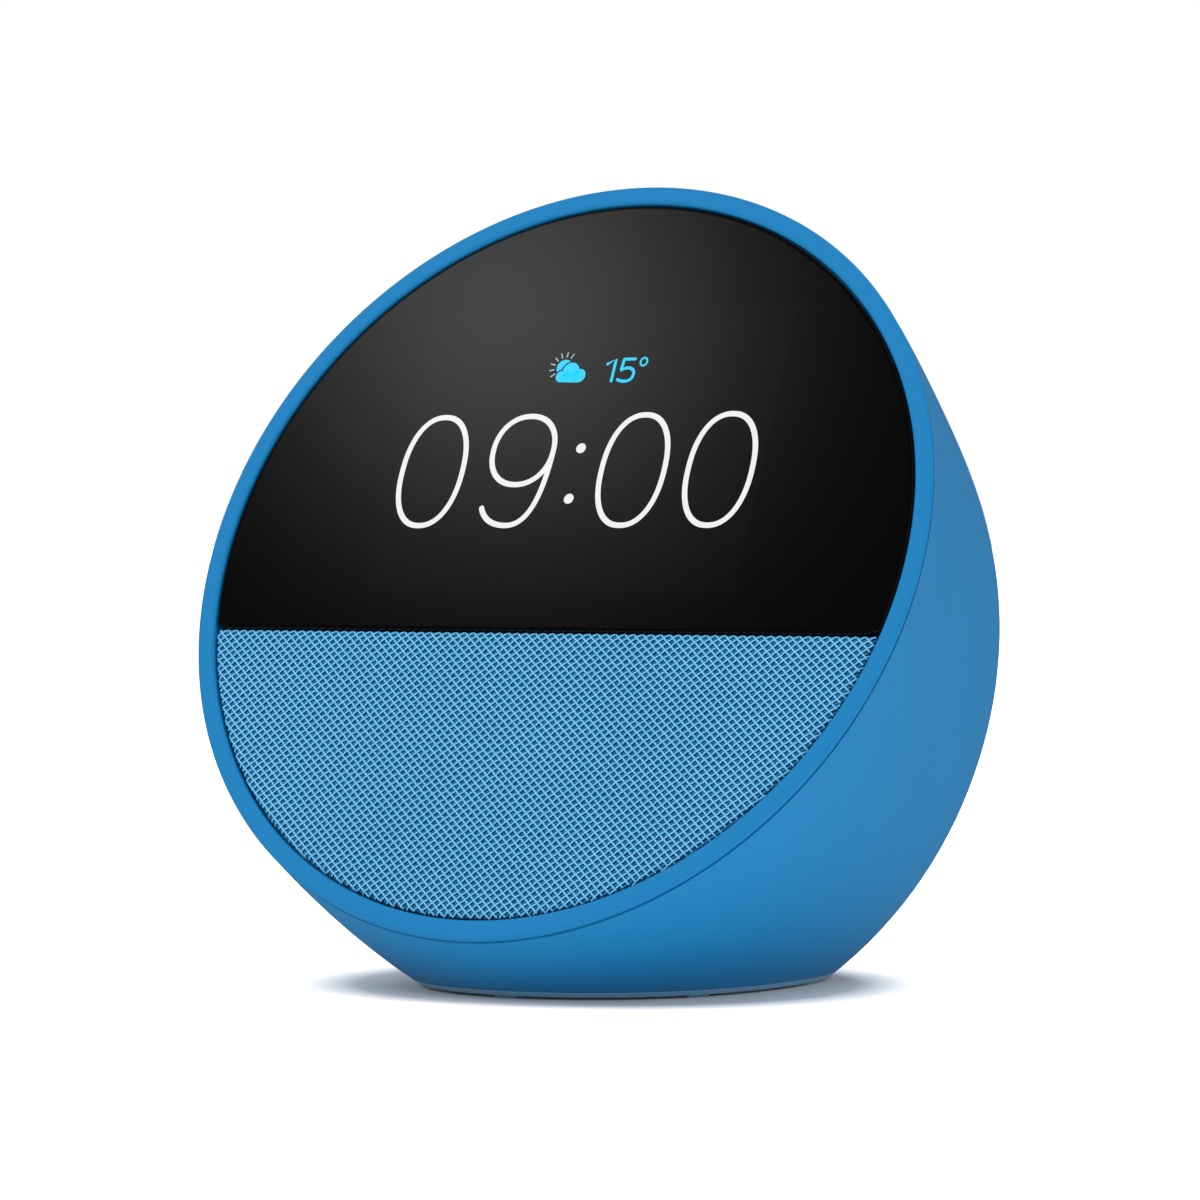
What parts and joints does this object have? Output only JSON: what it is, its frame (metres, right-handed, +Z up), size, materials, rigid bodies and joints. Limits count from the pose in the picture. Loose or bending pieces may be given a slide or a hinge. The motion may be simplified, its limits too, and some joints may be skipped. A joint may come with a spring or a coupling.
{
  "type": "smart display",
  "caption": "Bedside smart display with a round face tilted back on a rounded housing: glass screen above a cloth speaker grille, top buttons and a rear power inlet.",
  "frame": {"origin": "on the table plane under the centre of the bounding box", "axes": "+X to the right as seen by someone facing the screen, +Y to the back, +Z up; the face looks towards -Y and leans back 25.4 degrees"},
  "size_m": [0.1128, 0.1028, 0.1108],
  "materials": {
    "housing_blue": "satin",
    "bezel_blue": "satin",
    "base_blue": "matte",
    "black_glass": "gloss",
    "grille_cloth": "woven",
    "black_plastic": "matte",
    "foot_rubber": "matte",
    "adhesive": "matte",
    "lcd_glass": "gloss",
    "backlight_steel": "satin",
    "flex_amber": "satin",
    "screw_steel": "satin",
    "foam": "matte",
    "cone_paper": "matte",
    "surround_rubber": "matte",
    "spider_cloth": "matte",
    "coil_copper": "satin",
    "yoke_steel": "satin",
    "magnet": "satin",
    "wire_black": "satin",
    "board_green": "satin",
    "chip_black": "matte",
    "shield_tin": "satin",
    "pad_grey": "matte",
    "spreader_aluminium": "satin",
    "connector_cream": "satin",
    "contact_plate": "gloss",
    "switch_metal": "satin",
    "boot_rubber": "matte"
  },
  "bodies": {
    "display_body": {"front_bezel": "bezel_blue", "cover_glass": "black_glass", "grille_frame": "black_plastic", "grille_fabric": "grille_cloth", "rear_housing": "housing_blue", "base_plate": "base_blue", "foot_ring": "foot_rubber", "base_screws": "screw_steel", "power_inlet_shell": "black_plastic", "power_inlet_pin": "contact_plate", "power_inlet_contact": "contact_plate", "inlet_board": "board_green", "inlet_screws": "screw_steel", "inlet_cable": "wire_black", "display_adhesive": "adhesive", "lcd_panel": "lcd_glass", "backlight_frame": "backlight_steel", "display_flex": "flex_amber", "front_chassis": "black_plastic", "chassis_screws": "screw_steel", "speaker_gasket": "foam", "speaker_basket": "black_plastic", "speaker_surround": "surround_rubber", "speaker_spider": "spider_cloth", "speaker_yoke": "yoke_steel", "speaker_magnet": "magnet", "speaker_pole_plate": "yoke_steel", "speaker_terminals": "connector_cream", "speaker_screws": "screw_steel", "speaker_enclosure": "black_plastic", "speaker_wires": "wire_black", "main_board": "board_green", "processor": "chip_black", "memory_chips": "chip_black", "shield_can": "shield_tin", "thermal_pad": "pad_grey", "heat_spreader": "spreader_aluminium", "board_screws": "screw_steel", "board_connectors": "connector_cream", "power_components": "chip_black", "antennas": "flex_amber", "antenna_cables": "wire_black", "tact_switches": "switch_metal", "button_board": "board_green", "button_flex": "flex_amber", "microphones": "shield_tin", "microphone_boots": "boot_rubber"},
    "button_volume_down": {"button_volume_down": "housing_blue", "switch_plunger_volume_down": "black_plastic"},
    "button_mic_mute": {"button_mic_mute": "housing_blue", "switch_plunger_mic_mute": "black_plastic"},
    "button_volume_up": {"button_volume_up": "housing_blue", "switch_plunger_volume_up": "black_plastic"},
    "speaker_cone_assembly": {"speaker_cone": "cone_paper", "speaker_dust_cap": "cone_paper", "speaker_voice_coil": "coil_copper"}
  },
  "joints": [
    {"name": "button_volume_down_press", "type": "slide", "parent": "display_body", "child": "button_volume_down", "axis": [0, -0.4286, -0.9035], "range_m": [0, 0.0004], "stiffness_N_per_m": 1500, "springref_m": -0.0006},
    {"name": "button_mic_mute_press", "type": "slide", "parent": "display_body", "child": "button_mic_mute", "axis": [0, -0.4286, -0.9035], "range_m": [0, 0.0004], "stiffness_N_per_m": 1500, "springref_m": -0.0006},
    {"name": "button_volume_up_press", "type": "slide", "parent": "display_body", "child": "button_volume_up", "axis": [0, -0.4286, -0.9035], "range_m": [0, 0.0004], "stiffness_N_per_m": 1500, "springref_m": -0.0006},
    {"name": "speaker_cone_stroke", "type": "slide", "parent": "display_body", "child": "speaker_cone_assembly", "axis": [0, -0.9035, 0.4286], "range_m": [-0.0015, 0.0015], "stiffness_N_per_m": 1200, "deforming": ["speaker_surround", "speaker_spider"]}
  ]
}
